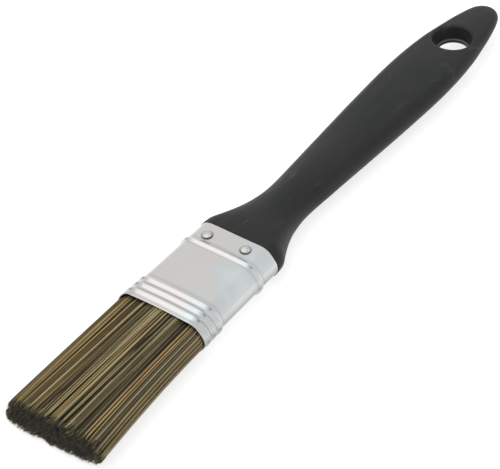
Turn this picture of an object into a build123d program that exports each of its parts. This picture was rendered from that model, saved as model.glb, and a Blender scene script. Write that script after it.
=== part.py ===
from build123d import *
import os
from math import asin, cos, pi, sin, sqrt

# A 25 mm (1 in) flat paint brush lying on its back, front face up.
# X runs across the width, Y from the bristle tips to the hang hole, Z up through the thickness.
# All sizes are millimetres. Every section across Y is an oval of four tangent arcs: two wide
# crowned faces joined by two round narrow sides. Distances are counted from the ferrule's mouth
# towards the handle.

# ---- whole brush ----
BRISTLES_OUT = 41.5                 # bristles standing out of the ferrule
FERRULE_LENGTH = 30.1
HANDLE_OUT = 113.35                 # handle showing above the ferrule
OVERALL = BRISTLES_OUT + FERRULE_LENGTH + HANDLE_OUT
MOUTH_Y = BRISTLES_OUT - OVERALL / 2    # ferrule mouth, with the origin at the middle of the length
MID_Z = 5.7                         # mid plane above the bench: half the thickest section

# ---- ferrule: tinplate bent round the handle's tang and the bristles' roots ----
SHEET = 0.35
MOUTH_OVAL = (12.7, 4.9, 4.5)       # half width, half thickness, radius of the narrow sides
TOP_OVAL = (12.1, 5.05, 4.75)
BEAD_STATIONS = [1.9, 4.3, 6.7, 22.9]   # middle of each rolled bead
BEAD_HEIGHT = 0.45
BEAD_WIDTH = 2.0
BEAD_CHORDS = 4                     # straight steps over the crest of a bead

# ---- handle: one moulding, with a tang inside the ferrule ----
# half width, distance above the ferrule, half thickness
HANDLE_RAIL = [
    (12.35, 0.0, 5.4),              # lip standing on the ferrule's edge
    (12.0, 2.6, 5.6),
    (10.5, 5.5, MID_Z),             # shoulder, the thickest place
    (8.6, 9.5, 5.45),
    (7.2, 14.0, 5.05),
    (6.4, 20.0, 4.75),              # neck, the narrowest place
    (6.85, 30.0, 4.5),
    (7.8, 45.0, 4.2),
    (8.8, 62.0, 3.95),
    (9.3, 78.0, 3.65),              # belly, the widest place
    (8.6, 91.0, 3.2),
    (6.7, 102.0, 2.45),
    (5.7, 106.2, 2.15),
    (4.75, 109.4, 1.85),
    (3.85, 111.3, 1.6),
    (2.7, 112.55, 1.3),
    (1.4, 113.2, 0.95),
    (0.6, HANDLE_OUT, 0.45),        # round end, with the small flat that moulding leaves
]
HANDLE_SECTIONS = 30
ENDS_SHARE = 0.8                    # how far the sections crowd towards both ends, from 0 to 1
EDGE_ROUNDNESS = 0.87               # side radius of the handle as a share of its half thickness
TANG_DEPTH = 12.0                   # handle inside the ferrule
TANG_PLAY = 0.1
HANG_HOLE_FROM_TOP = 94.7           # hole centre above the ferrule
# the hang hole's outline from back to front: radius, height above the mid plane
HANG_HOLE_OUTLINE = [
    (5.2, -3.4),                    # eased back mouth
    (4.4, -2.5),                    # thin lip, where the hole is smallest
    (4.4, -1.5),
    (5.0, -1.5),                    # ledge, where the mould's two pins met
    (5.25, 2.1),                    # tapering bore
    (5.5, 2.7),                     # eased front mouth
    (6.2, 3.4),
]

# ---- nails through the ferrule into the tang ----
# distance from the mouth and from the middle of the width; they are driven by hand, a little unevenly
NAIL_PLACES = {"left": (26.15, -6.05), "right": (26.9, 5.25)}
NAIL_HEAD_RADIUS = 1.42
NAIL_HEAD_HEIGHT = 0.75
NAIL_HEAD_BEND = (1.05, 0.5)        # radius and height where the dome turns over
NAIL_SHANK_RADIUS = 0.65
NAIL_LENGTH = 4.0
NAIL_POINT = 0.9

# ---- bristles: two rows, each side of a plug, set in resin ----
ROOT_SLICE = (1.2, 3.2)             # slice of the setting that holds the strands
RESIN_TOP = 17.0
PLUG_OVAL = (11.2, 0.8, 0.7)
PLUG_TOP = 15.0
ROW_GAP = 0.1                       # between a row and the plug, and between the two rows
TIP_OVAL = (12.85, 5.0, 4.0)
STRAND_RADIUS = 0.21                # round the three corners of a strand
STRAND_PITCH = 0.92                 # between strands along a line, at their tips
STRAND_LINES = 6                    # in each row
TIPS_UNEVEN = 1.6                   # the strands end within this length
GOLDEN_SHARE = (sqrt(5) - 1) / 2    # steps that never repeat, which scatter the lengths


def across(distance):
    """Plane square to the brush at this distance, seen from the bristle end."""
    return Plane(origin=(0, MOUTH_Y + distance, MID_Z), x_dir=(1, 0, 0), z_dir=(0, -1, 0))


def crown_radius(half_width, half_thick, side):
    """Radius of the wide faces that run tangent into the round narrow sides."""
    return ((half_width - side) ** 2 + half_thick**2 - side**2) / (2 * (half_thick - side))


def oval_face(distance, half_width, half_thick, side):
    """The four-arc oval as a face square to the brush."""
    crown = crown_radius(half_width, half_thick, side)
    lean = asin((half_width - side) / (crown - side))
    touch_x = half_width - side + side * sin(lean)
    touch_z = side * cos(lean)
    with BuildSketch(across(distance)) as section:
        with BuildLine():
            ThreePointArc((touch_x, -touch_z), (half_width, 0), (touch_x, touch_z))
            ThreePointArc((touch_x, touch_z), (0, half_thick), (-touch_x, touch_z))
            ThreePointArc((-touch_x, touch_z), (-half_width, 0), (-touch_x, -touch_z))
            ThreePointArc((-touch_x, -touch_z), (0, -half_thick), (touch_x, -touch_z))
        make_face()
    return section.sketch.face()


def ferrule_oval(distance, inset=0.0):
    """The ferrule's oval at this distance, drawn in by an inset."""
    share = distance / FERRULE_LENGTH
    return [mouth + (top - mouth) * share - inset for mouth, top in zip(MOUTH_OVAL, TOP_OVAL)]


def ferrule_face(distance, inset=0.0):
    return oval_face(distance, *ferrule_oval(distance, inset))


def beaded_faces():
    """Faces along the outside of the ferrule, stepping over the crest of each bead."""
    bead_radius = (BEAD_WIDTH**2 / 4 + BEAD_HEIGHT**2) / (2 * BEAD_HEIGHT)
    sunk = bead_radius - BEAD_HEIGHT        # the bead's centre below the outside
    half_turn = asin(BEAD_WIDTH / 2 / bead_radius)
    faces = [ferrule_face(0)]
    for station in BEAD_STATIONS:
        for step in range(BEAD_CHORDS + 1):
            turn = half_turn * (2 * step / BEAD_CHORDS - 1)
            inset = sunk - bead_radius * cos(turn)
            faces.append(ferrule_face(station + bead_radius * sin(turn), inset))
    faces.append(ferrule_face(FERRULE_LENGTH))
    return faces


def nail_plane(left_right, front_back):
    """Plane on the ferrule's outside at a nail, its normal pointing out along the nail's axis."""
    station, off_middle = NAIL_PLACES[left_right]
    half_width, half_thick, side = ferrule_oval(station)
    crown = crown_radius(half_width, half_thick, side)
    lean = asin(off_middle / crown)
    height = half_thick - crown + crown * cos(lean)
    return Plane(
        origin=(off_middle, MOUTH_Y + station, MID_Z + front_back * height),
        x_dir=(0, 1, 0),
        z_dir=(sin(lean), 0, front_back * cos(lean)),
    )


NAILS = {
    "nail_front_left": nail_plane("left", 1),
    "nail_front_right": nail_plane("right", 1),
    "nail_back_left": nail_plane("left", -1),
    "nail_back_right": nail_plane("right", -1),
}

# ---- ferrule: a tapering tube with rolled beads, pierced for the nails ----
with BuildPart() as ferrule:
    loft(beaded_faces(), ruled=True)
    loft([ferrule_face(distance, SHEET) for distance in (0, FERRULE_LENGTH)], ruled=True, mode=Mode.SUBTRACT)
    for nail_place in NAILS.values():
        with BuildSketch(nail_place):
            Circle(NAIL_SHANK_RADIUS)
        extrude(amount=2 * SHEET, both=True, mode=Mode.SUBTRACT)
ferrule.part.label = "ferrule"

# ---- handle: lofted along one rail of widths and thicknesses, then bored ----
with BuildLine() as rail:
    Spline(*HANDLE_RAIL)
handle_faces = []
for index in range(HANDLE_SECTIONS + 1):
    # closer together at both ends, where the outline turns fastest
    even = index / HANDLE_SECTIONS
    crowded = (1 - cos(pi * even)) / 2
    along = even + (crowded - even) * ENDS_SHARE
    half_width, distance, half_thick = tuple(rail.line @ along)
    side = EDGE_ROUNDNESS * half_thick
    handle_faces.append(oval_face(FERRULE_LENGTH + distance, half_width, half_thick, side))

hole_centre = (0, MOUTH_Y + FERRULE_LENGTH + HANG_HOLE_FROM_TOP, MID_Z)
with BuildPart() as handle:
    loft(handle_faces, ruled=True)
    tang_ends = (FERRULE_LENGTH - TANG_DEPTH, FERRULE_LENGTH)
    loft([ferrule_face(distance, SHEET + TANG_PLAY) for distance in tang_ends], ruled=True)
    with BuildSketch(Plane(origin=hole_centre, x_dir=(1, 0, 0), z_dir=(0, -1, 0))):
        back_height, front_height = HANG_HOLE_OUTLINE[0][1], HANG_HOLE_OUTLINE[-1][1]
        Polygon((0, back_height), *HANG_HOLE_OUTLINE, (0, front_height), align=None)
    revolve(axis=Axis(hole_centre, (0, 0, 1)), mode=Mode.SUBTRACT)
    for nail_place in NAILS.values():
        with BuildSketch(nail_place):
            Circle(NAIL_SHANK_RADIUS)
        extrude(amount=-NAIL_LENGTH, mode=Mode.SUBTRACT)
handle.part.label = "handle"

# ---- nails: domed head, straight shank, tapered point ----
nails = []
for nail_name, nail_place in NAILS.items():
    with BuildPart() as nail:
        with BuildSketch(Plane(nail_place.origin, x_dir=nail_place.x_dir, z_dir=-nail_place.y_dir)):
            Polygon(
                (0, NAIL_HEAD_HEIGHT),
                NAIL_HEAD_BEND,
                (NAIL_HEAD_RADIUS, 0),
                (NAIL_SHANK_RADIUS, 0),
                (NAIL_SHANK_RADIUS, NAIL_POINT - NAIL_LENGTH),
                (0, -NAIL_LENGTH),
                align=None,
            )
        revolve(axis=Axis(nail_place.origin, nail_place.z_dir))
    nail.part.label = nail_name
    nails.append(nail)

# ---- plug and setting ----
with BuildPart() as spacer_plug:
    loft([oval_face(distance, *PLUG_OVAL) for distance in (ROOT_SLICE[0], PLUG_TOP)], ruled=True)
spacer_plug.part.label = "spacer_plug"

with BuildPart() as resin_setting:
    loft([ferrule_face(distance, SHEET) for distance in (ROOT_SLICE[1], RESIN_TOP)], ruled=True)
    add(spacer_plug.part, mode=Mode.SUBTRACT)
resin_setting.part.label = "resin_setting"


def strand(tip_x, tip_z, front_back, shortfall):
    """One three-cornered strand, from inside the root slice to its own tip."""
    root_distance = sum(ROOT_SLICE) / 2
    root_half_width, root_half_thick, _ = ferrule_oval(root_distance, SHEET + 3 * STRAND_RADIUS)
    lowest = PLUG_OVAL[1] + ROW_GAP + STRAND_RADIUS
    root_x = tip_x * root_half_width / TIP_OVAL[0]
    root_z = lowest + tip_z * (root_half_thick - lowest) / TIP_OVAL[1]
    with BuildSketch(across(root_distance)) as root:
        with Locations((root_x, front_back * root_z)):
            RegularPolygon(STRAND_RADIUS, 3)
    length = root_distance + BRISTLES_OUT - shortfall
    spread = Vector(tip_x - root_x, -length, front_back * (tip_z - root_z))
    return Solid.extrude(root.sketch.face(), spread)


def row_of_bristles(name, front_back):
    """A row: lines of strands that fill half of the tip oval, fused to their slice."""
    half_width, half_thick, side = [size - STRAND_RADIUS for size in TIP_OVAL]
    first_z = ROW_GAP / 2 + STRAND_RADIUS
    strands = []
    for line in range(STRAND_LINES):
        tip_z = first_z + line * (half_thick - first_z) / (STRAND_LINES - 1)
        reach = half_width - side + side * sqrt(max(0, 1 - (tip_z / half_thick) ** 2))
        gaps = round(2 * reach / STRAND_PITCH)
        for place in range(gaps + 1):
            tip_x = reach * (2 * place / gaps - 1)
            shortfall = TIPS_UNEVEN * (len(strands) * GOLDEN_SHARE % 1)
            strands.append(strand(tip_x, tip_z, front_back, shortfall))
    slice_bottom = PLUG_OVAL[1] + ROW_GAP
    slice_thick = MOUTH_OVAL[1] - slice_bottom
    slice_centre = (0, MOUTH_Y + ROOT_SLICE[0], MID_Z + front_back * (slice_bottom + slice_thick / 2))
    with BuildPart() as row:
        loft([ferrule_face(distance, SHEET) for distance in ROOT_SLICE], ruled=True)
        with Locations(slice_centre):
            Box(2 * MOUTH_OVAL[0], 2 * ROOT_SLICE[1], slice_thick, mode=Mode.INTERSECT)
        add(strands)
    row.part.label = name
    print(name, "strands", len(strands))
    return row


front_bristles = row_of_bristles("front_bristles", 1)
back_bristles = row_of_bristles("back_bristles", -1)

os.makedirs("parts", exist_ok=True)
for piece in [handle, ferrule, *nails, front_bristles, back_bristles, spacer_plug, resin_setting]:
    export_step(piece.part, f"parts/{piece.part.label}.step")
    box = piece.part.bounding_box()
    print(piece.part.label, len(piece.part.solids()), round(piece.part.volume, 1), box.min, box.max)
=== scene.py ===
import random
from math import asin, atan2, copysign, cos, degrees, exp, hypot, log, pi, radians, sin, sqrt

import bmesh
import bpy
from mathutils import Matrix, Vector, geometry, noise


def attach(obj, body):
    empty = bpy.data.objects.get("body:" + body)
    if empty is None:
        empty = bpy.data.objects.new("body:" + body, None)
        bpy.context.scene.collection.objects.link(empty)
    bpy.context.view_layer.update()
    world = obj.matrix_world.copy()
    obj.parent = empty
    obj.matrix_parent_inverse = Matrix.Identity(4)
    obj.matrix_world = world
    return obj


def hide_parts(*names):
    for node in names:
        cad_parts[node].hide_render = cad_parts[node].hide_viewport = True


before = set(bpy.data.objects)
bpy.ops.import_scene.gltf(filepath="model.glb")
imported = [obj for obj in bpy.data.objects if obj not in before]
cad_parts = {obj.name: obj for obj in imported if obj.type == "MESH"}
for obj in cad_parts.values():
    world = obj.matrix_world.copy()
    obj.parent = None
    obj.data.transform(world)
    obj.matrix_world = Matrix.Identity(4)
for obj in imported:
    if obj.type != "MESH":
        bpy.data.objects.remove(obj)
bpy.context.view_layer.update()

# A flat paint brush lying on its back. X runs across the width, Y from the bristle tips to the
# hang hole, Z up. The sizes below are in millimetres, and MM turns them into the scene's metres.
# Distances along the brush are counted from the ferrule's mouth towards the handle.
MM = 0.001
BRISTLES_OUT = 41.5
FERRULE_LENGTH = 30.1
HANDLE_OUT = 113.35
MOUTH_Y = BRISTLES_OUT - (BRISTLES_OUT + FERRULE_LENGTH + HANDLE_OUT) / 2
MID_Z = 5.7

# ---- points round every ring ----
SIDE_POINTS = 36
FACE_POINTS = 60

# ---- ferrule ----
SHEET = 0.35
MOUTH_OVAL = (12.7, 4.9, 4.5)   # half width, half thickness, radius of the narrow sides
TOP_OVAL = (12.1, 5.05, 4.75)
BEAD_STATIONS = (2.1, 4.4, 6.7, 23.1)
BEAD_HEIGHT = 0.45
BEAD_TO_MOUTH = 1.0             # from a bead's crest to its foot on the mouth's side
BEAD_TO_HANDLE = 1.25           # and on the handle's side
BEAD_NARROWS = 0.3              # share of both that it loses at the corners of the wide faces
BEAD_STAYS_WIDE = 6             # the higher, the nearer to a corner it is still full
MOUTH_RING = 0.35               # the second ring of points lies this near the mouth's edge
BEAD_RINGS = 12
PLAIN_RINGS = 24
FACET_MIDDLE = 37               # the narrow sides are bent in facets: middle and half angle
FACET_HALF = 37
FACET_OUT = 1.24                # 1 would put the facets' edges on the round oval
FACET_CRISPNESS = 0.72
CORNER_RISE = 0.05              # the corners above a facet stand out by this share of the side's radius
CORNER_SHARPNESS = 36
RIDGE_ROUNDING = 6              # degrees over which the ridge between two facets is rounded
FACET_FADE = 7.0                # the handle's shoulder has left the facets behind by here
LAP_AT = 2.72                   # where round the ring the outer end of the strip stops
LAP_STEP = 0.26                 # height of that end
LAP_RUN = 0.2                   # how far round the ring the lap takes to rise
LAP_EDGE = 0.004                # and to fall away
FLARE_LEFT = 0.75               # how far the mouth's ends are pushed out
FLARE_RIGHT = 0.5
FLARE_RUN = 1.5                 # how far up the ferrule that reaches
WAVINESS = 0.03                 # unevenness of the bent sheet, in waves of this size
WAVE_ROUND = 6
WAVE_ALONG = 7
CORNER_AT = 0.87                # where round a narrow side its corners lie
PINCH = 0.3                     # depth and reach of the pinch where a bead turns a corner
PINCH_REACH = 0.42
CUT_EDGE = 0.07                 # the strip's edges are eased by this
CUT_ANGLE = 60                  # where they turn by more than this
# painted shade in the creases: distance, half width and strength
CREASE_SHADE = ((7.95, 0.3, 0.25), (22.1, 0.3, 0.25), (24.35, 0.3, 0.25))
RIDGE_SHADE = 0.3                # painted shade along the narrow sides' ridges
RIDGE_SHADE_REACH = 0.07
UNDER_SHADE = 0.4                # painted shade on the facets that face down
SIDE_SHADE = 0.25                # painted shade on the narrow sides, fading away from the mouth
SIDE_SHADE_RUN = 7
PINCH_SHADE = 0.9                # painted shade and painted dark reflection in the pinched corners
NAIL_SHADOW = 0.9                 # painted shadow in a ring round each nail head: strength, place and half width
NAIL_SHADOW_AT = 0.05
NAIL_SHADOW_REACH = 0.26

# ---- nails ----
# distance from the mouth and from the middle of the width
NAIL_PLACES = {"left": (26.15, -6.05), "right": (26.9, 5.25)}
NAIL_HEAD_RADIUS = 1.32
NAIL_HEAD_HEIGHT = 0.75
NAIL_HEAD_SUNK = 0.12           # the head's underside is pressed into the sheet
NAIL_FLANK = 0.3                # the head is painted dark below this height, as painted shade and a painted dark reflection
DOME_STEPS = 8
DOME_FULLNESS = 0.8             # 1 would be a plain half oval, and less is fuller
NAIL_POINTS_ROUND = 32
NAIL_SHANK_RADIUS = 0.65
NAIL_LENGTH = 4.0
NAIL_POINT = 0.9
NAIL_DENT = 0.16                # how far a head presses the sheet in
NAIL_DENT_REACH = 1.9
NAIL_DENT_STEEPNESS = 2

# ---- handle: half width, distance above the ferrule, half thickness ----
HANDLE_RAIL = (
    (12.35, 0.0, 5.4), (12.0, 2.6, 5.6), (10.5, 5.5, 5.7), (8.6, 9.5, 5.45),
    (7.2, 14.0, 5.05), (6.4, 20.0, 4.75), (6.85, 30.0, 4.5), (7.8, 45.0, 4.2),
    (8.8, 62.0, 3.95), (9.3, 78.0, 3.65), (8.6, 91.0, 3.2), (6.7, 102.0, 2.45),
    (5.7, 106.2, 2.15), (4.75, 109.4, 1.85), (3.85, 111.3, 1.6), (2.7, 112.55, 1.3),
    (1.4, 113.2, 0.95), (0.6, HANDLE_OUT, 0.45),
)
RAIL_STEPS = 12                 # rings between two points of the rail
EDGE_ROUNDNESS = 0.87
LIP_ROUNDING = 0.3
PARTING_RIDGE = 0.05            # line that the mould's two halves leave on the narrow sides
PARTING_SHORT = 2               # it stops this short of the handle's end
TANG_DEPTH = 12.0
TANG_PLAY = 0.1
TANG_RINGS = 4
SHARP_ANGLE = 50                # edges that turn more than this stay crisp
HANG_HOLE_FROM_TOP = 94.7
# the hang hole: radius and how far the rim is rounded down
FRONT_RIM = (6.2, 1.0)
BACK_RIM = (4.65, 0.25)
BORE_TOP = 5.22                 # radius of the bore under its front rim, and at the ledge
BORE_BOTTOM = 5.0
LEDGE_HEIGHT = -1.55            # ledge near the back, from the mid plane
LEDGE_EASING = 0.1
LEDGE_TURN = 0.3                # where the easing turns over
LEDGE_SLOPE = 0.12
LIP_RADIUS = 4.4                # the hole through the thin lip under the ledge
RIM_STEPS = 8
HOLE_POINTS = 96
THICK_AT_HOLE = 6               # thickness of the handle there
ON_WALL = 0.01                  # points this near the cut belong to its wall
UPRIGHT = 0.5                   # and so do faces whose normals rise less than this

# ---- bristles and their setting ----
RESIN_ENDS = (3.2, 17.0)
RESIN_RINGS = 8
TIP_OVAL = (12.85, 5.0, 4.0)
ROOT_GAP = 0.15                 # between the sheet and the outermost roots
STRAND_RADIUS = 0.1
STRAND_CORNERS = 4
THICKNESSES = (0.8, 1.3)        # the thinnest and the thickest strand, as shares of that radius
TIP_TAPER = 0.6
TIPS_UNEVEN = 0.6
LOCKS_UNEVEN = 0.5
SKIN_DEPTH = 0.2                # outermost strands, with gaps between them
SKIN_GAPS = 0.35
SKIN_SHADE = 0.13               # painted shade: the strands under the gaps are darker
TIP_COLOUR_DEPTH = 1.3          # strands further in than this only show their dark cut ends
EDGE_SHORT = 0.2                # the outermost strands end this much sooner
OUTER_DEPTH = 0.9               # strands this near the outside are drawn full length
OUTER_PITCH = 0.2
INNER_PITCH = 0.22
ROW_PITCH = 0.866               # rows of a grid of equal triangles lie this much closer than its points
SCATTER = 0.35                  # and each point is up to this share of the pitch off its place
WISP_PITCH = 0.31               # neighbouring strands of one colour
MIXING = 0.618                  # golden section, which mixes dark and pale wisps evenly
WISP_PULL = 0.5                 # how far a strand's tip leans into its wisp
WISP_BEND = 1.2                 # the higher, the nearer to the tip it does so
WISP_DRIFT = 0.3                # how far a wisp has wandered sideways
WISPS_UNEVEN = 0.45
PALE_STRANDS = 0.12
CROSSED_STRANDS = 0.015         # strands that lie across their neighbours
CROSSING = 1.5
SWAY = 0.04                     # how far a strand winds off its line, in a curl of these angles
SWAY_TURNS = (5, 4)
BULGE = 0.05
TIP_STRAY = (0.14, 0.12)        # how far a tip strays across and up
SWELL = 0.2                     # how much fuller the rows get where they leave the ferrule
SWELL_RUN = 0.03                # the share of their length in which they do so
END_SWELL = 0.9                 # how much wider at the narrow sides
END_SWELL_BEND = 3
LOCK_PITCH = 1.25               # wisps that cling together at the tips
LOCK_PULL = 0.3
BACK_LOCK_PULL = LOCK_PULL / 3  # and less so at the back
TIPS_PROUD = 0.3                # the longest strands pass the end of the CAD ones by this

# tones run from 0, nearly black, to 1, pale straw
LOCK_TONES = (0.49, 0.53)
DARK_WISPS = 0.26               # wisps up to here in the mixing are darker than their lock
PALE_WISPS = 0.8                # and from here on they are paler
DARK_OFFSETS = (-0.28, -0.14)
PALE_OFFSETS = (0.12, 0.28)
PLAIN_OFFSET = 0.08
STRAND_SPREAD = 0.26
DEEPER_SHADE = 0.2             # painted shade: how much darker a strand is for each millimetre inwards
DARKEST = 0.03
PALE_TONES = (0.75, 1.0)
INNER_TONE = 0.04               # strands whose sides aren't seen: the darkest, and how much paler
INNER_SPREAD = 0.4
TIP_TONES = (0.04, 0.36)        # the cut ends are dark, from black to grey-green
TIP_SPREAD = 0.14
PALE_ENDS = 0.1                 # share of the cut ends that get a painted highlight
PALE_END_LIFT = 0.4
FRONT_ENDS = 0.35               # this near the front the strands keep their colour to the very end
FRONT_END_DROP = 0.15
# hues run from 0, golden brown, over olive and grey to 1, green-black
MIDDLE_HUE = 0.41
HUE_SLANT = 0.12                # the golden strands lie more to the left
HUE_SPREAD = 0.2
GREY_HUE = 0.75                 # the greyest strands
TIP_HUE = 0.95                  # the cut ends

TIP_DARK = 1.6                  # length at the tip that is darker
# where the points of a strand lie, as shares of its length: an outer one starts in the ferrule
OUTER_SHARES = (-0.06, 0.03, 0.16, 0.38, 0.62, 0.82, 1 - TIP_DARK / BRISTLES_OUT, 1.0)
INNER_SHARES = (0.83, 1 - TIP_DARK / BRISTLES_OUT, 1.0)
SPLAY = 3.3                     # how far the right-hand corner has spread
SPLAY_CROWDING = 2.2            # the higher, the nearer to the corner the spread stays
SPLAY_BEND = 1.6                # and the nearer to the tips
LEFT_SPLAY = 2.6                # how far the lower left-hand corner has spread
LEFT_LONG = 0.8                 # where the strands are longer by this
LEFT_FROM = -3.0                # and where across the brush that begins
LEFT_RUN = 5
LEFT_CROWDING = 0.7
DROOP = 0.45                    # how far the lowest strands hang lower at their tips
CORE_INSET = 0.75
CORE_SHORT = 2.2
CORE_ROOT = 2.0
CORE_RINGS = 14

# ---- camera, lamp and floor ----
AIM = (-1.745, 36.914, 4.486)   # what the camera looks at: across, from the mouth, and up
CAMERA_TURN = 42.238            # degrees round the brush, up over the floor, and leaning
CAMERA_RISE = 42.483
CAMERA_LEAN = -6.930
CAMERA_AWAY = 547.41
CAMERA_LENS = 158.4
CAMERA_SENSOR = 36
FLOOR_GREY = 0.45
FLOOR_GLOW = 0.72               # makes the floor white to look at, without lighting the brush

chance = random.Random(7)


# ------------------------------------------------------------------ ovals and rings

def crown_radius(half_width, half_thick, side):
    """Radius of the wide faces that run tangent into the round narrow sides."""
    return ((half_width - side) ** 2 + half_thick**2 - side**2) / (2 * (half_thick - side))


def oval_point(around, half_width, half_thick, side):
    """X and Z on the oval. Around runs 0 to 4: right side, front face, left side, back face."""
    crown = crown_radius(half_width, half_thick, side)
    lean = asin((half_width - side) / (crown - side))
    stretch, share = divmod(around, 1)
    if stretch in (0, 2):
        angle = (2 * share - 1) * (pi / 2 - lean)
        x, z = half_width - side + side * cos(angle), side * sin(angle)
    else:
        angle = (1 - 2 * share) * lean
        x, z = crown * sin(angle), half_thick - crown + crown * cos(angle)
    return (x, z) if stretch < 2 else (-x, -z)


def oval_depth(x, z, half_width, half_thick, side):
    """How far a point lies inside the oval's outline."""
    crown = crown_radius(half_width, half_thick, side)
    lean = asin((half_width - side) / (crown - side))
    x, z = abs(x), abs(z)
    if atan2(x, z + crown - half_thick) > lean:
        return side - hypot(x - (half_width - side), z)
    return crown - hypot(x, z + crown - half_thick)


def ferrule_oval(distance, grown=0.0):
    """The ferrule's outside at this distance, grown by an amount."""
    share = distance / FERRULE_LENGTH
    return [mouth + (top - mouth) * share + grown for mouth, top in zip(MOUTH_OVAL, TOP_OVAL)]


def rim_edges(ring):
    """The edges that join a ring's own points."""
    members = set(ring)
    return list({edge for vert in ring for edge in vert.link_edges if edge.other_vert(vert) in members})


def close_ends(bm, rims):
    """Fills the first and the last ring of a tube, and turns its faces outwards."""
    for rim in rims:
        bmesh.ops.contextual_create(bm, geom=rim_edges(rim))
    bmesh.ops.recalc_face_normals(bm, faces=bm.faces)


def draw_tube(stations, proud, marks):
    """A tube through ovals: one ring is extruded from station to station and laid on each."""
    bm = bmesh.new()
    around = bm.verts.layers.float.new("around")
    ring = bmesh.ops.create_circle(bm, segments=len(marks), radius=1)["verts"]
    for vert, mark in zip(ring, marks):
        vert[around] = mark
    rims = [ring]
    for index, (distance, oval) in enumerate(stations):
        if index:
            grown = bmesh.ops.extrude_edge_only(bm, edges=rim_edges(ring))["geom"]
            ring = [part for part in grown if isinstance(part, bmesh.types.BMVert)]
        for vert in ring:
            height = proud(distance, vert[around])
            x, z = oval_point(vert[around], *[size + height for size in oval])
            vert.co = (x * MM, (MOUTH_Y + distance) * MM, (MID_Z + z) * MM)
    rims.append(ring)
    return bm, rims


def ring_marks(*extra):
    """Evenly spaced places round each stretch of the ring, and any extra ones."""
    counts = (SIDE_POINTS, FACE_POINTS, SIDE_POINTS, FACE_POINTS)
    even = [stretch + step / count for stretch, count in enumerate(counts) for step in range(count)]
    return sorted(even + list(extra))


def steps(start, end, count):
    """Count even steps from start up to, but not including, end."""
    return [start + (end - start) * index / count for index in range(count)]


def mesh_from(bm, name):
    """Turns a bmesh into a mesh."""
    mesh = bpy.data.meshes.new(name)
    bm.to_mesh(mesh)
    bm.free()
    return mesh


def put_in_scene(data, name):
    """A new object in the scene that holds a mesh, a curve, a lamp or a camera."""
    holder = bpy.data.objects.new(name, data)
    bpy.context.scene.collection.objects.link(holder)
    return holder


def shape_of(holder):
    """The mesh that an object's curve or modifiers make."""
    return bpy.data.meshes.new_from_object(holder.evaluated_get(bpy.context.evaluated_depsgraph_get()))


def piece_from(bm, name, finish, slot, *nodes):
    """Turns a bmesh into a finished piece, which stands for the CAD nodes given."""
    return finish_piece(mesh_from(bm, name), name, finish, slot, *nodes)


def finish_piece(mesh, name, finish, slot, *nodes):
    """Puts a mesh in the scene with its finish, riding on the brush's one body."""
    for polygon in mesh.polygons:
        polygon.use_smooth = True
    mesh.materials.clear()
    mesh.materials.append(finish)
    piece = put_in_scene(mesh, name)
    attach(piece, "root")
    if nodes:
        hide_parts(*nodes)
    return piece


# ------------------------------------------------------------------ finishes

def new_finish(name, settings):
    """A material whose shader has these settings on its own sockets."""
    finish = bpy.data.materials.new(name)
    finish.use_nodes = True
    shader = finish.node_tree.nodes["Principled BSDF"]
    for socket, value in settings.items():
        shader.inputs[socket].default_value = value
    return finish, finish.node_tree, shader


def mottle(tree, size, stretch=(1, 1, 1), detail=3.0, roughness=0.55):
    """Noise whose patches are about this many millimetres across."""
    place = tree.nodes.new("ShaderNodeTexCoord")
    turn = tree.nodes.new("ShaderNodeMapping")
    turn.inputs["Scale"].default_value = stretch
    patches = tree.nodes.new("ShaderNodeTexNoise")
    patches.inputs["Scale"].default_value = 1 / (size * MM)
    patches.inputs["Detail"].default_value = detail
    patches.inputs["Roughness"].default_value = roughness
    tree.links.new(place.outputs["Object"], turn.inputs["Vector"])
    tree.links.new(turn.outputs["Vector"], patches.inputs["Vector"])
    return patches.outputs["Fac"]


def spread_of(tree, source, low, high, start=0.3, end=0.7):
    """Turns a grey pattern between start and end into values from low to high."""
    spread = tree.nodes.new("ShaderNodeMapRange")
    spread.inputs["From Min"].default_value = start
    spread.inputs["From Max"].default_value = end
    spread.inputs["To Min"].default_value = low
    spread.inputs["To Max"].default_value = high
    tree.links.new(source, spread.inputs["Value"])
    return spread.outputs["Result"]


def added(tree, one, other, operation="ADD"):
    """The sum of two grey patterns, or what another operation makes of them."""
    total = tree.nodes.new("ShaderNodeMath")
    total.operation = operation
    tree.links.new(one, total.inputs[0])
    tree.links.new(other, total.inputs[1])
    return total.outputs["Value"]


def place_along(tree, space, axis):
    """How far along an axis of the object or the room a place lies."""
    place = tree.nodes.new("ShaderNodeTexCoord")
    parts = tree.nodes.new("ShaderNodeSeparateXYZ")
    tree.links.new(place.outputs[space], parts.inputs["Vector"])
    return parts.outputs[axis]


def from_mesh(tree, layer):
    """A grey pattern that the mesh carries in one of its own layers."""
    own = tree.nodes.new("ShaderNodeAttribute")
    own.attribute_name = layer
    return own.outputs["Fac"]


def tint(tree, source, *stops):
    """Turns a grey pattern into colours, given as (place, (red, green, blue))."""
    ramp = tree.nodes.new("ShaderNodeValToRGB")
    slots = ramp.color_ramp.elements
    while len(slots) < len(stops):
        slots.new(0.5)
    for slot, (place, colour) in zip(slots, stops):
        slot.position = place
        slot.color = (*colour, 1)
    tree.links.new(source, ramp.inputs["Fac"])
    return ramp.outputs["Color"]


def raise_with(tree, shader, source, depth, under=None):
    """Bump of this many millimetres from a grey pattern, and over another bump if one is given."""
    bump = tree.nodes.new("ShaderNodeBump")
    bump.inputs["Strength"].default_value = 1.0
    bump.inputs["Distance"].default_value = depth * MM
    tree.links.new(source, bump.inputs["Height"])
    if under:
        tree.links.new(under, bump.inputs["Normal"])
    tree.links.new(bump.outputs["Normal"], shader.inputs["Normal"])
    return bump.outputs["Normal"]


def over_to(tree, colour, source, other_colour):
    """The colour, going over to another one where a grey pattern says so."""
    mix = tree.nodes.new("ShaderNodeMix")
    mix.data_type = "RGBA"
    mix.inputs["B"].default_value = (*other_colour, 1)
    tree.links.new(source, mix.inputs["Factor"])
    tree.links.new(colour, mix.inputs["A"])
    return mix.outputs["Result"]


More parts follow.
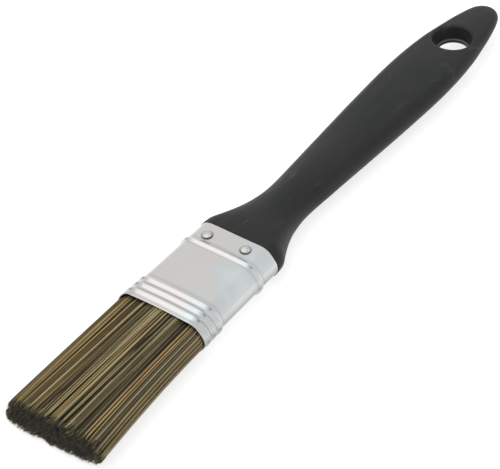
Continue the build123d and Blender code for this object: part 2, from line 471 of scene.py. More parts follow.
def paint(tree, shader, colour):
    """Gives the shader its colour."""
    tree.links.new(colour, shader.inputs["Base Color"])


def tinplate_finish():
    """Bright tinned sheet: faint warm and cool clouds, a painted cool reflection towards the right, and
    painted shade in the creases, on ridges and round the nails.
    """
    finish, tree, shader = new_finish("tinplate", {"Metallic": 1.0, "Roughness": 0.25})
    half_width = MOUTH_OVAL[0] * MM
    # the tint goes from warm on the left to cool on the right; the cool right-hand end is a painted
    # reflection, the clouds are the tin's own
    across = spread_of(tree, place_along(tree, "Object", "X"), 0, 1, start=-half_width, end=half_width)
    clouds = added(tree, across, spread_of(tree, mottle(tree, size=9, detail=2), -0.2, 0.2))
    colour = tint(
        tree, clouds,
        (0.1, (0.585, 0.58, 0.575)), (0.45, (0.59, 0.565, 0.55)), (0.65, (0.575, 0.575, 0.56)),
        (0.8, (0.55, 0.58, 0.59)), (1.0, (0.60, 0.63, 0.635)),
    )
    # painted shade and painted dark reflections: the tin goes dark where the mesh's layer says
    paint(tree, shader, over_to(tree, colour, from_mesh(tree, "painted_shade"), (0.24, 0.235, 0.22)))
    tree.links.new(spread_of(tree, mottle(tree, size=6, detail=1), 0.24, 0.28), shader.inputs["Roughness"])
    raise_with(tree, shader, mottle(tree, size=4, detail=1), 0.01)
    return finish


def nail_finish():
    """Plain steel, duller than the ferrule, with the marks of the hammer."""
    finish, tree, shader = new_finish("nail_steel", {"Metallic": 1.0, "Roughness": 0.33})
    marks = mottle(tree, size=0.7, detail=3)
    colour = tint(tree, marks, (0.3, (0.42, 0.41, 0.385)), (0.7, (0.66, 0.65, 0.62)))
    # painted shade and painted dark reflection on the head's flank
    paint(tree, shader, over_to(tree, colour, from_mesh(tree, "painted_shade"), (0.10, 0.095, 0.085)))
    tree.links.new(spread_of(tree, marks, 0.2, 0.34), shader.inputs["Roughness"])
    raise_with(tree, shader, marks, 0.03)
    return finish


def moulding_finish():
    """Black moulded plastic: satin, with a fine grain, faint clouds, a few rubs and a painted highlight on
    the lip in the hang hole.
    """
    finish, tree, shader = new_finish("black_moulding", {"Roughness": 0.46, "Specular IOR Level": 0.27})
    clouds = mottle(tree, size=14, detail=3)
    grain = mottle(tree, size=0.35, detail=2)
    rubs = mottle(tree, size=9, stretch=(2.2, 0.35, 1), detail=6, roughness=0.7)
    colour = tint(tree, clouds, (0.3, (0.008, 0.0092, 0.0096)), (0.7, (0.013, 0.0135, 0.013)))
    # rubbed lines follow one level of a noise, where another noise lets them show
    course = mottle(tree, size=14, stretch=(1.3, 0.7, 1), detail=1)
    rising = spread_of(tree, course, 0, 1, start=0.475, end=0.5)
    falling = spread_of(tree, course, 0, -1, start=0.5, end=0.525)
    hidden = spread_of(tree, mottle(tree, size=5, detail=3), -1, 0, start=0.46, end=0.62)
    specks = spread_of(tree, mottle(tree, size=1.1, detail=1), 0, 1, start=0.74, end=0.8)
    wear = added(tree, added(tree, added(tree, rising, falling), hidden), specks)
    colour = over_to(tree, colour, wear, (0.027, 0.029, 0.029))
    # painted highlight: the lip under the ledge in the hang hole is painted pale
    paint(tree, shader, over_to(tree, colour, from_mesh(tree, "painted_highlight"), (0.16, 0.165, 0.165)))
    tree.links.new(spread_of(tree, rubs, 0.40, 0.55, start=0.35, end=0.7), shader.inputs["Roughness"])
    under = raise_with(tree, shader, grain, 0.02)
    raise_with(tree, shader, rubs, 0.03, under=under)
    return finish


def bristle_finish():
    """Dark and golden bristle. Each strand's own tone and hue come from the mesh."""
    finish, tree, shader = new_finish("bristle", {"Roughness": 0.42, "Specular IOR Level": 0.4})
    along = spread_of(tree, mottle(tree, size=7, stretch=(3, 0.4, 3), detail=2), -0.06, 0.06)
    colour = tint(
        tree, added(tree, from_mesh(tree, "tone"), along),
        (0.0, (0.016, 0.013, 0.009)), (0.22, (0.048, 0.036, 0.021)), (0.42, (0.125, 0.097, 0.052)),
        (0.58, (0.23, 0.18, 0.092)), (0.78, (0.42, 0.32, 0.16)), (0.9, (0.55, 0.46, 0.29)),
        (1.0, (0.56, 0.54, 0.45)),
    )
    hue = tint(
        tree, from_mesh(tree, "hue"),
        (0.0, (1.0, 0.80, 0.50)), (0.3, (0.98, 0.87, 0.60)), (0.55, (0.88, 0.90, 0.66)),
        (GREY_HUE, (0.84, 0.84, 0.84)), (1.0, (0.56, 0.88, 0.74)),
    )
    stained = tree.nodes.new("ShaderNodeMix")
    stained.data_type = "RGBA"
    stained.blend_type = "MULTIPLY"
    stained.inputs["Factor"].default_value = 1
    tree.links.new(colour, stained.inputs["A"])
    tree.links.new(hue, stained.inputs["B"])
    paint(tree, shader, stained.outputs["Result"])
    raise_with(tree, shader, mottle(tree, size=0.12, stretch=(1, 0.1, 1), detail=1), 0.01)
    return finish


def core_finish():
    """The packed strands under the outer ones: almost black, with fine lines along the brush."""
    finish, tree, shader = new_finish("packed_bristle", {"Roughness": 0.6, "Specular IOR Level": 0.1})
    lines = mottle(tree, size=0.25, stretch=(1, 0.02, 1), detail=2)
    colour = tint(tree, lines, (0.35, (0.012, 0.010, 0.006)), (0.7, (0.06, 0.046, 0.024)))
    paint(tree, shader, colour)
    raise_with(tree, shader, lines, 0.15)
    return finish


def resin_finish():
    """Cast setting resin: dark amber, smooth, with small bubbles."""
    finish, tree, shader = new_finish("resin", {"Roughness": 0.3, "Coat Weight": 0.2})
    clouds = mottle(tree, size=3)
    colour = tint(tree, clouds, (0.3, (0.09, 0.045, 0.015)), (0.7, (0.17, 0.095, 0.035)))
    paint(tree, shader, colour)
    raise_with(tree, shader, mottle(tree, size=0.5, detail=1), 0.03)
    return finish


def plug_finish():
    """Pale wood strip with its grain along its width."""
    finish, tree, shader = new_finish("plug", {"Roughness": 0.7})
    grain = mottle(tree, size=1.2, stretch=(0.08, 1, 1), detail=5)
    colour = tint(tree, grain, (0.3, (0.36, 0.24, 0.13)), (0.7, (0.58, 0.43, 0.26)))
    paint(tree, shader, colour)
    raise_with(tree, shader, grain, 0.05)
    return finish


# ------------------------------------------------------------------ ferrule

def facet_height(angle, side):
    """How far a narrow side stands off its round form, at these degrees from its middle."""
    turned = radians(hypot(angle, RIDGE_ROUNDING) - FACET_MIDDLE)
    straight = FACET_OUT * cos(radians(FACET_HALF)) / cos(turned) - 1
    # the lower of the facet and the wide face, with the corner between them rounded
    softest = exp(-CORNER_SHARPNESS * straight) + exp(-CORNER_SHARPNESS * CORNER_RISE)
    return -FACET_CRISPNESS * side * log(softest) / CORNER_SHARPNESS


def bent_height(around, side):
    """How far the bent sheet stands off the round oval: facets, and wide faces that are nearly flat."""
    stretch, share = divmod(around, 1)
    off_middle = abs(2 * share - 1)
    if stretch in (0, 2):
        return facet_height(off_middle * 90, side)
    return FACET_CRISPNESS * side * CORNER_RISE * off_middle**2


def to_corner(around):
    """How far round the ring the nearest of the four corners is."""
    corners = (1 - CORNER_AT, CORNER_AT, 3 - CORNER_AT, 2 + CORNER_AT)
    return min(abs(around - corner) for corner in corners)


def pinch(distance, around):
    """1 where a bead turns a corner, falling to 0 round it."""
    off_bead = min(abs(distance - station) for station in BEAD_STATIONS)
    off_corner = to_corner(around) * MOUTH_OVAL[2] * pi
    return exp(-(off_bead**2 + off_corner**2) / PINCH_REACH**2)


def to_nails(distance, around):
    """How far a place on a wide face is from the middle of each nail. The narrow sides have none."""
    if int(around) % 2 == 0:
        return []
    x, _ = oval_point(around, *ferrule_oval(distance))
    return [hypot(x - off_middle, distance - station) for station, off_middle in NAIL_PLACES.values()]


def painted_shade_at(distance, around):
    """How much painted shade the tin gets: in creases, round the nail heads, on ridges, on the narrow sides
    and in pinched corners.
    """
    painted_shade = sum(strength * exp(-((distance - place) / half) ** 2) for place, half, strength in CREASE_SHADE)
    stretch, share = divmod(around, 1)
    if stretch in (0, 2):
        painted_shade += RIDGE_SHADE * exp(-(((share - 0.5) / RIDGE_SHADE_REACH) ** 2))
        down = share < 0.5 if stretch == 0 else share > 0.5
        painted_shade += UNDER_SHADE * down + SIDE_SHADE * exp(-((distance / SIDE_SHADE_RUN) ** 2))
    for off_nail in to_nails(distance, around):
        off_ring = off_nail - NAIL_HEAD_RADIUS - NAIL_SHADOW_AT
        painted_shade += NAIL_SHADOW * exp(-((off_ring / NAIL_SHADOW_REACH) ** 2))
    return min(painted_shade + PINCH_SHADE * pinch(distance, around), 1)


def ferrule_proud(distance, around):
    """How far the sheet stands off the plain oval: bends, beads, lap, dents, the flared mouth, waviness."""
    height = bent_height(around, ferrule_oval(distance)[2]) - PINCH * pinch(distance, around)
    narrowed = 1 - BEAD_NARROWS * exp(-(to_corner(around) * BEAD_STAYS_WIDE) ** 2)
    for station in BEAD_STATIONS:
        foot = BEAD_TO_HANDLE if distance > station else BEAD_TO_MOUTH
        reach = abs(distance - station) / (foot * narrowed)
        if reach < 1:
            height += BEAD_HEIGHT * (1 + cos(pi * reach)) / 2
    if LAP_AT - LAP_RUN < around <= LAP_AT:
        height += LAP_STEP * (1 - (LAP_AT - around) / LAP_RUN)
    for off_nail in to_nails(distance, around):
        height -= NAIL_DENT * exp(-(off_nail / NAIL_DENT_REACH) ** 2 * NAIL_DENT_STEEPNESS)
    x, z = oval_point(around, *ferrule_oval(distance))
    stretch, share = divmod(around, 1)
    if stretch in (0, 2):
        flare = FLARE_RIGHT if x > 0 else FLARE_LEFT
        height += flare * exp(-((distance / FLARE_RUN) ** 2)) * sin(pi * share)
    return height + WAVINESS * noise.noise((x / WAVE_ROUND, distance / WAVE_ALONG, z / WAVE_ROUND))


def bend_ferrule(finish):
    """One strip of tinplate: beads rolled in, bent round, lapped on the left-hand narrow side."""
    stops = [0.0, MOUTH_RING]
    for station in BEAD_STATIONS:
        stops += steps(station - BEAD_TO_MOUTH, station + BEAD_TO_HANDLE, BEAD_RINGS)
    third, fourth = BEAD_STATIONS[2:]
    stops += steps(third + BEAD_TO_HANDLE, fourth - BEAD_TO_MOUTH, PLAIN_RINGS)
    stops += steps(fourth + BEAD_TO_HANDLE, FERRULE_LENGTH, PLAIN_RINGS) + [FERRULE_LENGTH]
    stations = [(distance, ferrule_oval(distance)) for distance in sorted(set(stops))]
    bm, _ = draw_tube(stations, ferrule_proud, ring_marks(LAP_AT, LAP_AT + LAP_EDGE))
    bmesh.ops.recalc_face_normals(bm, faces=bm.faces)
    around = bm.verts.layers.float["around"]
    # painted shade, laid on every point of the sheet
    painted_shade = bm.verts.layers.float.new("painted_shade")
    for vert in bm.verts:
        vert[painted_shade] = painted_shade_at(vert.co.y / MM - MOUTH_Y, vert[around])
    ferrule = piece_from(bm, "ferrule_tinplate", finish, "tinplate", "ferrule")
    wall = ferrule.modifiers.new("sheet", "SOLIDIFY")
    wall.thickness = SHEET * MM
    wall.offset = -1
    rim = ferrule.modifiers.new("cut edges", "BEVEL")
    rim.width = CUT_EDGE * MM
    rim.segments = 2
    rim.limit_method = "ANGLE"
    rim.angle_limit = radians(CUT_ANGLE)


# ------------------------------------------------------------------ nails

def drive_nail(name, left_right, front_back, finish):
    """A domed nail: its outline is spun about its axis, then set square to the ferrule."""
    station, off_middle = NAIL_PLACES[left_right]
    half_width, half_thick, side = ferrule_oval(station)
    crown = crown_radius(half_width, half_thick, side)
    lean = asin(off_middle / crown)
    outline = [(0, NAIL_HEAD_HEIGHT)]
    for step in range(1, DOME_STEPS + 1):
        turn = step / DOME_STEPS * pi / 2
        outline.append((NAIL_HEAD_RADIUS * sin(turn), NAIL_HEAD_HEIGHT * cos(turn) ** DOME_FULLNESS))
    outline += [
        (NAIL_HEAD_RADIUS, -NAIL_HEAD_SUNK), (NAIL_SHANK_RADIUS, -NAIL_HEAD_SUNK),
        (NAIL_SHANK_RADIUS, NAIL_POINT - NAIL_LENGTH), (0, -NAIL_LENGTH),
    ]
    bm = bmesh.new()
    verts = [bm.verts.new((radius * MM, 0, height * MM)) for radius, height in outline]
    edges = [bm.edges.new(pair) for pair in zip(verts, verts[1:])]
    bmesh.ops.spin(
        bm, geom=verts + edges, cent=(0, 0, 0), axis=(0, 0, 1), angle=2 * pi,
        steps=NAIL_POINTS_ROUND, use_merge=True,
    )
    bmesh.ops.remove_doubles(bm, verts=bm.verts, dist=1e-6)
    bmesh.ops.recalc_face_normals(bm, faces=bm.faces)
    # painted shade on the head's flank
    painted_shade = bm.verts.layers.float.new("painted_shade")
    for vert in bm.verts:
        vert[painted_shade] = 1.0 if vert.co.z < NAIL_FLANK * MM else 0.0
    turn = Matrix.Rotation(lean if front_back > 0 else pi - lean, 4, "Y")
    height = front_back * (half_thick - crown + crown * cos(lean))
    place = Vector((off_middle, MOUTH_Y + station, MID_Z + height)) * MM
    bmesh.ops.transform(bm, matrix=Matrix.Translation(place) @ turn, verts=bm.verts)
    piece_from(bm, name + "_domed", finish, "nail_steel", name)


# ------------------------------------------------------------------ handle

def handle_stations():
    """Rings up the tang, round the lip and along the smooth rail."""
    tang_start = FERRULE_LENGTH - TANG_DEPTH
    stations = []
    for distance in steps(tang_start, FERRULE_LENGTH, TANG_RINGS) + [FERRULE_LENGTH]:
        stations.append((distance, ferrule_oval(distance, -SHEET - TANG_PLAY)))
    points = [Vector(point) for point in HANDLE_RAIL]
    for index, (start, end) in enumerate(zip(points, points[1:])):
        before = points[max(index - 1, 0)]
        after = points[min(index + 2, len(points) - 1)]
        run = end - start
        lead = start + (end - before) * run.length / ((end - before).length or 1) / 3
        trail = end - (after - start) * run.length / ((after - start).length or 1) / 3
        for point in geometry.interpolate_bezier(start, lead, trail, end, RAIL_STEPS + 1)[:-1]:
            half_width, distance, half_thick = point
            # the lip is rounded over where it stands on the ferrule's edge
            short = max(0, 1 - distance / LIP_ROUNDING)
            eased = LIP_ROUNDING * (1 - sqrt(1 - short**2))
            half_thick -= eased
            oval = (half_width - eased, half_thick, EDGE_ROUNDNESS * half_thick)
            stations.append((FERRULE_LENGTH + distance, oval))
    half_width, distance, half_thick = HANDLE_RAIL[-1]
    stations.append((FERRULE_LENGTH + distance, (half_width, half_thick, EDGE_ROUNDNESS * half_thick)))
    return stations


def handle_proud(distance, around):
    """The ferrule's facets, which the tang has and the shoulder loses, and the parting line."""
    fade = min(max((distance - FERRULE_LENGTH) / FACET_FADE, 0), 1)
    height = bent_height(around, TOP_OVAL[2]) * (1 - fade) ** 2
    # true for the middle point of each narrow side
    on_line = abs(around % 2 - 0.5) < 0.4 / SIDE_POINTS
    past_lip = distance > FERRULE_LENGTH + LIP_ROUNDING
    before_end = distance < FERRULE_LENGTH + HANDLE_OUT - PARTING_SHORT
    return height + (PARTING_RIDGE if on_line and past_lip and before_end else 0.0)


HOLE_CENTRE = Vector((0, MOUTH_Y + FERRULE_LENGTH + HANG_HOLE_FROM_TOP, MID_Z)) * MM
# the cut widens towards the front by this per millimetre
HOLE_FLARE = (FRONT_RIM[0] - BACK_RIM[0]) / THICK_AT_HOLE
CUTTER_DEPTH = 20


def cut_radius(height):
    """Radius of the cut at a height from the mid plane, before its rims are rounded."""
    return (FRONT_RIM[0] + BACK_RIM[0]) / 2 + HOLE_FLARE * height


def hole_cutter():
    """A round bar that is a little wider at the front."""
    bm = bmesh.new()
    bmesh.ops.create_cone(
        bm, cap_ends=True, segments=HOLE_POINTS, depth=CUTTER_DEPTH * MM,
        matrix=Matrix.Translation(HOLE_CENTRE),
        radius1=cut_radius(-CUTTER_DEPTH / 2) * MM, radius2=cut_radius(CUTTER_DEPTH / 2) * MM,
    )
    return put_in_scene(mesh_from(bm, "hole_cutter"), "hole_cutter")


def in_hole(vert):
    """A point's distance from the hang hole's axis and its height from the mid plane, in millimetres."""
    out = vert.co - HOLE_CENTRE
    return hypot(out.x, out.y) / MM, out.z / MM


def on_cut(vert):
    """Whether a point lies on the wall that the cutter has left."""
    radius, height = in_hole(vert)
    return abs(radius - cut_radius(height)) < ON_WALL


def next_ring(bm, rim, place):
    """Extrudes a rim by one ring. Place turns a point's radius and height into its new ones."""
    grown = bmesh.ops.extrude_edge_only(bm, edges=rim)["geom"]
    ring = {part for part in grown if isinstance(part, bmesh.types.BMVert)}
    for vert in ring:
        old_radius, old_height = in_hole(vert)
        radius, height = place(old_radius, old_height)
        out = (vert.co - HOLE_CENTRE) * (radius / old_radius)
        vert.co = HOLE_CENTRE + Vector((out.x, out.y, height * MM))
    return [part for part in grown if isinstance(part, bmesh.types.BMEdge) and set(part.verts) <= ring]


def round_over(bm, rim, throat, drop):
    """Rolls a rim inwards to the throat's radius and down by drop, which is negative at the back."""
    inward, sunk = 1.0, 0.0
    for step in range(1, RIM_STEPS + 1):
        turn = step / RIM_STEPS * pi / 2
        share = (1 - sin(turn)) / inward
        fall = drop * (1 - cos(turn)) - sunk
        rim = next_ring(bm, rim, lambda radius, height: (throat + (radius - throat) * share, height - fall))
        inward *= share
        sunk += fall
    return rim


def line_hang_hole(bm):
    """Takes the cut's wall away, then makes the rims, the lip, the ledge and the tapering bore."""
    upright = [face for face in bm.faces if abs(face.normal.z) < UPRIGHT]
    wall = [face for face in upright if all(on_cut(vert) for vert in face.verts)]
    bmesh.ops.delete(bm, geom=wall, context="FACES")
    open_edges = [edge for edge in bm.edges if len(edge.link_faces) == 1]
    front = [edge for edge in open_edges if edge.verts[0].co.z > HOLE_CENTRE.z]
    back = [edge for edge in open_edges if edge.verts[0].co.z < HOLE_CENTRE.z]
    front = round_over(bm, front, BORE_TOP, FRONT_RIM[1])
    back = round_over(bm, back, LIP_RADIUS, -BACK_RIM[1])
    # painted highlight on the rings round the ledge's edge
    painted_highlight = bm.verts.layers.float.new("painted_highlight")
    turned = LEDGE_TURN * LEDGE_EASING
    for radius, height, pale in (
        (LIP_RADIUS, LEDGE_HEIGHT - LEDGE_EASING, 0),
        (LIP_RADIUS + turned, LEDGE_HEIGHT - turned, 1),
        (LIP_RADIUS + LEDGE_EASING, LEDGE_HEIGHT, 1),
        (BORE_BOTTOM - LEDGE_EASING, LEDGE_HEIGHT + LEDGE_SLOPE, 0),
        (BORE_BOTTOM, LEDGE_HEIGHT + LEDGE_SLOPE + LEDGE_EASING, 0),
    ):
        back = next_ring(bm, back, lambda *_: (radius, height))
        for vert in {vert for edge in back for vert in edge.verts}:
            vert[painted_highlight] = pale
    bmesh.ops.bridge_loops(bm, edges=front + back)
    bmesh.ops.recalc_face_normals(bm, faces=bm.faces)


def mould_handle(finish):
    """Tang, lip, shoulder, neck and belly in one moulding, then the hang hole is cut."""
    bm, rims = draw_tube(handle_stations(), handle_proud, ring_marks())
    close_ends(bm, rims)
    blank = put_in_scene(mesh_from(bm, "handle_blank"), "handle_blank")
    cutter = hole_cutter()
    bore = blank.modifiers.new("hang hole", "BOOLEAN")
    bore.operation = "DIFFERENCE"
    bore.solver = "EXACT"
    bore.object = cutter
    bm = bmesh.new()
    bm.from_mesh(shape_of(blank))
    line_hang_hole(bm)
    for leftover in (cutter, blank):
        bpy.data.objects.remove(leftover)
    handle = piece_from(bm, "handle_moulding", finish, "black_moulding", "handle")
    handle.data.set_sharp_from_angle(angle=radians(SHARP_ANGLE))


# ------------------------------------------------------------------ bristles

def scatter(oval, pitch):
    """Places over an oval on a grid of equal triangles, each a little off its place."""
    half_width, half_thick, _ = oval
    places = []
    rows = int(half_thick / (pitch * ROW_PITCH)) + 1
    across = int(half_width / pitch) + 1
    for row in range(-rows, rows + 1):
        for place in range(-across, across + 1):
            x = (place + 0.5 * (row % 2)) * pitch + chance.uniform(-SCATTER, SCATTER) * pitch
            z = row * pitch * ROW_PITCH + chance.uniform(-SCATTER, SCATTER) * pitch
            if oval_depth(x, z, *oval) > 0:
                places.append((x, z))
    return places


def nearest(places, x, z):
    """Index of the place that lies closest."""
    gaps = [(place_x - x) ** 2 + (place_z - z) ** 2 for place_x, place_z in places]
    return gaps.index(min(gaps))


def between_facets(x, z, half_width, half_thick, side):
    """A place inside the round oval, drawn in to lie between the facets of the narrow sides."""
    middle = half_width - side
    if abs(x) <= middle:
        return x, z
    share = 1 + min(0, facet_height(degrees(atan2(abs(z), abs(x) - middle)), side)) / side
    return copysign(middle + (abs(x) - middle) * share, x), z * share


def strand_line(tip, wisp, lock, drift, shares, shortfall):
    """Points along one strand at these shares of its length."""
    tip_x, tip_z = tip
    bore = [size - ROOT_GAP for size in ferrule_oval(0, -SHEET)]
    root_x = tip_x * bore[0] / TIP_OVAL[0] + drift * (1 - (tip_x / TIP_OVAL[0]) ** 2)
    root_x, root_z = between_facets(root_x, tip_z * bore[1] / TIP_OVAL[1], *bore)
    swing = chance.uniform(0, 2 * pi)
    sway = chance.gauss(0, SWAY)
    bulge = chance.gauss(0, BULGE)
    right = SPLAY * max(0, tip_x / TIP_OVAL[0]) ** SPLAY_CROWDING
    low = max(0, -tip_z / TIP_OVAL[1])
    corner = min(max(0, (LEFT_FROM - tip_x) / LEFT_RUN), 1) * low**LEFT_CROWDING
    droop = DROOP * low
    pull = LOCK_PULL if tip_z > 0 else BACK_LOCK_PULL
    points = []
    for share in shares:
        out = max(share, 0)
        wisp_lean = WISP_PULL * out**WISP_BEND
        lock_lean = pull * out**2
        x = root_x + (tip_x - root_x) * out + (wisp[0] - tip_x) * wisp_lean + (lock[0] - tip_x) * lock_lean
        z = root_z + (tip_z - root_z) * out + (wisp[1] - tip_z) * wisp_lean + (lock[1] - tip_z) * lock_lean
        fuller = SWELL * min(out / SWELL_RUN, 1) * (1 - out)
        x += fuller * (END_SWELL / SWELL) * (tip_x / TIP_OVAL[0]) ** END_SWELL_BEND
        z += fuller * tip_z / TIP_OVAL[1]
        curl_x, curl_z = sin(swing + SWAY_TURNS[0] * out), cos(swing + SWAY_TURNS[1] * out)
        x += (right - LEFT_SPLAY * corner) * out**SPLAY_BEND + sway * curl_x * out
        z += sway * curl_z * out + bulge * sin(pi * out) - droop * out**2
        if share == 1:
            x += chance.gauss(0, TIP_STRAY[0])
            z += chance.gauss(0, TIP_STRAY[1])
        y = MOUTH_Y - share * (BRISTLES_OUT + LEFT_LONG * corner - shortfall)
        points.append((x * MM, y * MM, (MID_Z + z) * MM))
    return points


def lay_bristles(name, strands, finish, node):
    """One row of bristles: every strand is a bevelled curve, and keeps its own tone and hue."""
    curve = bpy.data.curves.new(name, "CURVE")
    curve.dimensions = "3D"
    curve.bevel_depth = STRAND_RADIUS * MM
    curve.bevel_resolution = 0
    curve.use_fill_caps = True
    caps, walls = [], []
    for points, thickness, tone, tip_tone, hue in strands:
        spline = curve.splines.new("POLY")
        spline.points.add(len(points) - 1)
        for point, place in zip(spline.points, points):
            point.co = (*place, 1)
            point.radius = thickness
        spline.points[-1].radius = thickness * TIP_TAPER
        # a strand's two caps come before all walls in the mesh, last strand first
        root = [(tone, hue)] * STRAND_CORNERS
        tip = [(tip_tone, TIP_HUE)] * STRAND_CORNERS
        caps.append(root + tip)
        walls += root * (len(points) - 1) + tip
    holder = put_in_scene(curve, name)
    mesh = shape_of(holder)
    mesh.name = name
    bpy.data.objects.remove(holder)
    bpy.data.curves.remove(curve)
    own = [pair for cap in reversed(caps) for pair in cap] + walls
    for layer, values in zip(("tone", "hue"), zip(*own)):
        mesh.attributes.new(layer, "FLOAT", "POINT").data.foreach_set("value", values)
    bm = bmesh.new()
    bm.from_mesh(mesh)
    bmesh.ops.remove_doubles(bm, verts=bm.verts, dist=1e-7)
    bm.to_mesh(mesh)
    bm.free()
    finish_piece(mesh, name, finish, "bristle", node)


def wisp_offset(index):
    """How much darker or paler a wisp is than its lock. Neighbours in a row are of different kinds."""
    kind = index * MIXING % 1
    if kind < DARK_WISPS:
        return chance.uniform(*DARK_OFFSETS)
    if kind > PALE_WISPS:
        return chance.uniform(*PALE_OFFSETS)
    return chance.gauss(0, PLAIN_OFFSET)


def wisp_hue(x):
    """Hue of a wisp at this place across the brush."""
    return min(max(chance.gauss(MIDDLE_HUE + HUE_SLANT * x / TIP_OVAL[0], HUE_SPREAD), 0), GREY_HUE)


def bristle_strands():
    """Every strand of the brush, sorted into the front and the back row."""
    locks = scatter(TIP_OVAL, LOCK_PITCH)
    lock_tones = [chance.uniform(*LOCK_TONES) for _ in locks]
    lock_ends = [chance.uniform(0, LOCKS_UNEVEN) for _ in locks]
    wisps = scatter(TIP_OVAL, WISP_PITCH)
    wisp_locks = [nearest(locks, x, z) for x, z in wisps]
    wisp_tones = [lock_tones[lock] + wisp_offset(index) for index, lock in enumerate(wisp_locks)]
    wisp_hues = [wisp_hue(x) for x, _ in wisps]
    wisp_ends = [chance.uniform(0, WISPS_UNEVEN) for _ in wisps]
    wisp_tips = [chance.uniform(*TIP_TONES) for _ in wisps]
    drifts = [chance.gauss(0, WISP_DRIFT) for _ in wisps]
    rows = {1: [], -1: []}
    for pitch, outer in ((OUTER_PITCH, True), (INNER_PITCH, False)):
        for x, z in scatter(TIP_OVAL, pitch):
            depth = oval_depth(x, z, *TIP_OVAL)
            if (depth < OUTER_DEPTH) != outer:
                continue
            near = nearest(wisps, x, z)
            lock = wisp_locks[near]
            shortfall = lock_ends[lock] + wisp_ends[near] + TIPS_UNEVEN * chance.random() - TIPS_PROUD
            # the tone is painted darker further in, as painted shade
            tone = wisp_tones[near] + chance.gauss(0, STRAND_SPREAD) - DEEPER_SHADE * depth
            tip_tone = wisp_tips[near] + chance.gauss(0, TIP_SPREAD)
            # painted highlight on a few cut ends
            if chance.random() < PALE_ENDS:
                tip_tone += PALE_END_LIFT
            if chance.random() < PALE_STRANDS:
                tone = chance.uniform(*PALE_TONES)
            drift = drifts[near]
            if chance.random() < CROSSED_STRANDS:
                drift += chance.uniform(-CROSSING, CROSSING)
            if outer:
                if depth < SKIN_DEPTH and chance.random() < SKIN_GAPS:
                    continue
                if depth > SKIN_DEPTH:
                    tone -= SKIN_SHADE
                shortfall += EDGE_SHORT * (1 - depth / OUTER_DEPTH) ** 2
                if z > 0 and depth < FRONT_ENDS:
                    tip_tone = max(tip_tone, tone - FRONT_END_DROP)
            elif depth > TIP_COLOUR_DEPTH:
                tone = INNER_TONE + INNER_SPREAD * chance.random() ** 2
            thickness = chance.uniform(*THICKNESSES)
            shares = OUTER_SHARES if outer else INNER_SHARES
            points = strand_line((x, z), wisps[near], locks[lock], drift, shares, shortfall)
            tone = min(max(tone, DARKEST), 1)
            rows[1 if z > 0 else -1].append((points, thickness, tone, min(tone, tip_tone), wisp_hues[near]))
    return rows[1], rows[-1]


def core_proud(distance, around):
    """The facets, which the body of strands has at its roots and loses towards its tips."""
    return bent_height(around, MOUTH_OVAL[2]) * (1 - max(0, -distance / BRISTLES_OUT))


def pack_core(finish):
    """The closed body of strands under the outer ones."""
    stations = []
    end = BRISTLES_OUT - CORE_SHORT
    bore = ferrule_oval(0, -SHEET)
    for distance in steps(-end, CORE_ROOT, CORE_RINGS) + [CORE_ROOT]:
        share = max(0, -distance / BRISTLES_OUT)
        oval = [root + (tip - root) * share - CORE_INSET for root, tip in zip(bore, TIP_OVAL)]
        stations.append((distance, oval))
    bm, rims = draw_tube(stations, core_proud, ring_marks())
    close_ends(bm, rims)
    for vert in bm.verts:
        out = max(0, (MOUTH_Y * MM - vert.co.y) / (BRISTLES_OUT * MM))
        spread = max(0, vert.co.x / (TIP_OVAL[0] * MM)) ** SPLAY_CROWDING
        vert.co.x += SPLAY * MM * spread * out**SPLAY_BEND
    piece_from(bm, "bristle_core", finish, "bristle")


def resin_proud(_, around):
    """The facets of the ferrule that the resin was cast in."""
    return bent_height(around, MOUTH_OVAL[2])


def cast_resin(finish):
    """The setting that fills the ferrule between the bristles' roots and the tang."""
    distances = steps(*RESIN_ENDS, RESIN_RINGS) + [RESIN_ENDS[1]]
    stations = [(distance, ferrule_oval(distance, -SHEET)) for distance in distances]
    bm, rims = draw_tube(stations, resin_proud, ring_marks())
    close_ends(bm, rims)
    piece_from(bm, "resin_cast", finish, "resin", "resin_setting")


# ------------------------------------------------------------------ the brush

bend_ferrule(tinplate_finish())
nail_steel = nail_finish()
drive_nail("nail_front_left", "left", 1, nail_steel)
drive_nail("nail_front_right", "right", 1, nail_steel)
drive_nail("nail_back_left", "left", -1, nail_steel)
drive_nail("nail_back_right", "right", -1, nail_steel)
mould_handle(moulding_finish())
bristle = bristle_finish()
front_strands, back_strands = bristle_strands()
lay_bristles("front_bristle_row", front_strands, bristle, "front_bristles")
lay_bristles("back_bristle_row", back_strands, bristle, "back_bristles")
pack_core(core_finish())
cast_resin(resin_finish())
for material_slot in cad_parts["spacer_plug"].material_slots:
    material_slot.material = plug_finish()


# ------------------------------------------------------------------ floor, light and camera

def seen_rays(tree):
    """1 for rays that show the background: from the camera, off gloss and through glass."""
    rays = tree.nodes.new("ShaderNodeLightPath")
    seen = rays.outputs["Is Camera Ray"]
    for kind in ("Is Glossy Ray", "Is Transmission Ray"):
        seen = added(tree, seen, rays.outputs[kind], operation="MAXIMUM")
    return seen


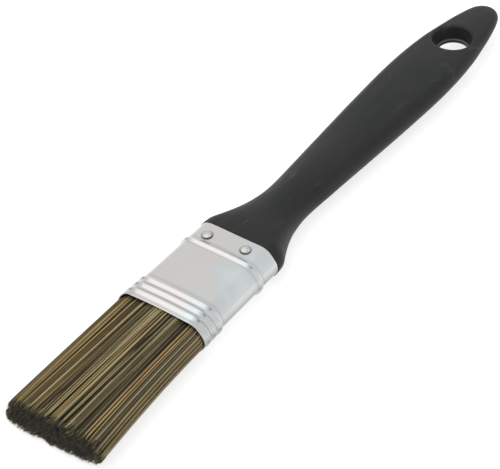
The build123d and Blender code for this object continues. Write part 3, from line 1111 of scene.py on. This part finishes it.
def lay_floor():
    """A white floor that fades into the background and keeps the brush's shadow."""
    bm = bmesh.new()
    bmesh.ops.create_grid(bm, x_segments=1, y_segments=1, size=3)
    floor = put_in_scene(mesh_from(bm, "floor"), "floor")
    paper = bpy.data.materials.new("white_floor")
    paper.use_nodes = True
    tree = paper.node_tree
    shader = tree.nodes["Principled BSDF"]
    shader.inputs["Base Color"].default_value = (FLOOR_GREY, FLOOR_GREY, FLOOR_GREY, 1)
    shader.inputs["Roughness"].default_value = 0.9
    glow = tree.nodes.new("ShaderNodeMath")
    glow.operation = "MULTIPLY"
    glow.inputs[1].default_value = FLOOR_GLOW
    shader.inputs["Emission Color"].default_value = (1, 1, 1, 1)
    tree.links.new(seen_rays(tree), glow.inputs[0])
    tree.links.new(glow.outputs["Value"], shader.inputs["Emission Strength"])
    floor.data.materials.append(paper)


def hang_lamp(name, place, size, power):
    """A soft square lamp that looks at the brush. Its place and size are in metres, its power in watts."""
    lamp = bpy.data.lights.new(name, "AREA")
    lamp.shape = "SQUARE"
    lamp.size = size
    lamp.energy = power
    holder = put_in_scene(lamp, name)
    towards_brush = (-Vector(place)).to_track_quat("-Z", "Y").to_matrix().to_4x4()
    holder.matrix_world = Matrix.Translation(place) @ towards_brush


def light_the_room():
    """White behind the brush, and a room that is brighter overhead and to the right."""
    world = bpy.data.worlds.new("studio")
    bpy.context.scene.world = world
    world.use_nodes = True
    tree = world.node_tree
    background = tree.nodes["Background"]
    overhead = spread_of(tree, place_along(tree, "Generated", "Z"), 0.5, 1.05, start=0.05, end=0.98)
    right = spread_of(tree, place_along(tree, "Generated", "X"), 0.0, 0.15, start=0.0, end=0.7)
    seen = tree.nodes.new("ShaderNodeMix")
    seen.data_type = "FLOAT"
    tree.links.new(seen_rays(tree), seen.inputs["Factor"])
    tree.links.new(added(tree, overhead, right), seen.inputs["A"])
    seen.inputs["B"].default_value = 1.0
    tree.links.new(seen.outputs["Result"], background.inputs["Strength"])
    background.inputs["Color"].default_value = (1, 1, 1, 1)


def set_camera():
    """The photograph's viewing angle."""
    camera = bpy.data.cameras.new("camera")
    camera.lens = CAMERA_LENS
    camera.sensor_width = CAMERA_SENSOR
    holder = put_in_scene(camera, "camera")
    across, from_mouth, up = AIM
    holder.matrix_world = (
        Matrix.Translation(Vector((across, MOUTH_Y + from_mouth, up)) * MM)
        @ Matrix.Rotation(radians(CAMERA_TURN), 4, "Z")
        @ Matrix.Rotation(radians(90 - CAMERA_RISE), 4, "X")
        @ Matrix.Rotation(radians(CAMERA_LEAN), 4, "Z")
        @ Matrix.Translation((0, 0, CAMERA_AWAY * MM))
    )
    bpy.context.scene.camera = holder


lay_floor()
hang_lamp("key", place=(-0.29, -0.17, 0.75), size=0.9, power=1.5)
light_the_room()
set_camera()
bpy.context.scene.view_settings.view_transform = "Standard"
